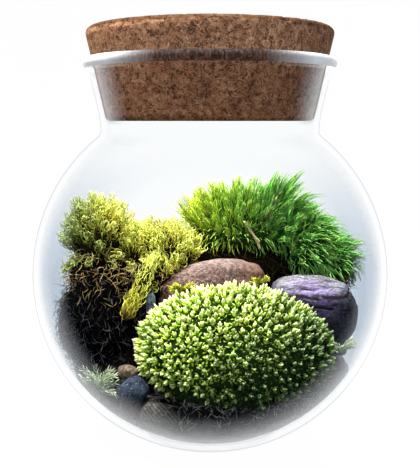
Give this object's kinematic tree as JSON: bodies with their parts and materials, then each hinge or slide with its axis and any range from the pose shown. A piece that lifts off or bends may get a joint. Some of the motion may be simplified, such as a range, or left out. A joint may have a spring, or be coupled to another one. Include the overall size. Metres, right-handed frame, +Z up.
{
  "type": "moss bowl terrarium",
  "caption": "Round glass bowl with a flared neck and tapered cork stopper, holding a small garden of moss cushions, stones and soil.",
  "frame": {"origin": "centre of the bowl's foot, on the surface that it stands on", "axes": "+Z up along the bowl's axis, -Y towards the garden's front, +X to the right seen from the front"},
  "size_m": [0.18, 0.18, 0.2065],
  "materials": {
    "glass_bowl": "clear blown glass, polished",
    "cork_stopper": "pressed cork granules, dull",
    "gravel_bed": "rounded drainage gravel, dull",
    "potting_soil": "damp dark potting soil, rough",
    "stone_rose": "pinkish brown river stone, fine grain",
    "stone_slate": "grey stone with a violet stain and cracks",
    "stone_dark": "dark broken rock",
    "pebble_tan": "tan pebble",
    "pebble_blue": "blue grey speckled pebble",
    "pebble_brown": "brown pebble",
    "pebble_sand": "sand coloured pebble",
    "pebble_grey_left": "grey pebble",
    "pebble_black": "black pebble",
    "pebble_grey_right": "grey pebble",
    "slate_chip": "blue grey split slate",
    "cushion_moss": "live cushion moss, pale tips",
    "cushion_roots": "grey brown root fibres",
    "fork_moss": "live fork moss, long leaves",
    "fork_moss_base": "dead brown stems",
    "plume_moss": "live yellow green plume moss",
    "plume_moss_base": "black brown dead moss and roots",
    "sprig_left": "pale green sprig",
    "sprig_right": "whitish green sprig",
    "sprig_rear_left": "yellow green sprig",
    "sprig_rear_right": "yellow green sprig",
    "straw_stem": "dry straw stem",
    "dry_twig": "thin dark twig"
  },
  "bodies": {
    "root": {"glass_bowl": "glass_bowl", "cork_stopper": "cork_stopper", "gravel_bed": "gravel_bed", "potting_soil": "potting_soil", "stone_rose": "stone_rose", "stone_slate": "stone_slate", "stone_dark": "stone_dark", "pebble_tan": "pebble_tan", "pebble_blue": "pebble_blue", "pebble_brown": "pebble_brown", "pebble_sand": "pebble_sand", "pebble_grey_left": "pebble_grey_left", "pebble_black": "pebble_black", "pebble_grey_right": "pebble_grey_right", "slate_chip": "slate_chip", "cushion_moss": "cushion_moss", "cushion_roots": "cushion_roots", "fork_moss": "fork_moss", "fork_moss_base": "fork_moss_base", "plume_moss": "plume_moss", "plume_moss_base": "plume_moss_base", "sprig_left": "sprig_left", "sprig_right": "sprig_right", "sprig_rear_left": "sprig_rear_left", "sprig_rear_right": "sprig_rear_right", "straw_stem": "straw_stem", "dry_twig": "dry_twig"}
  },
  "joints": []
}
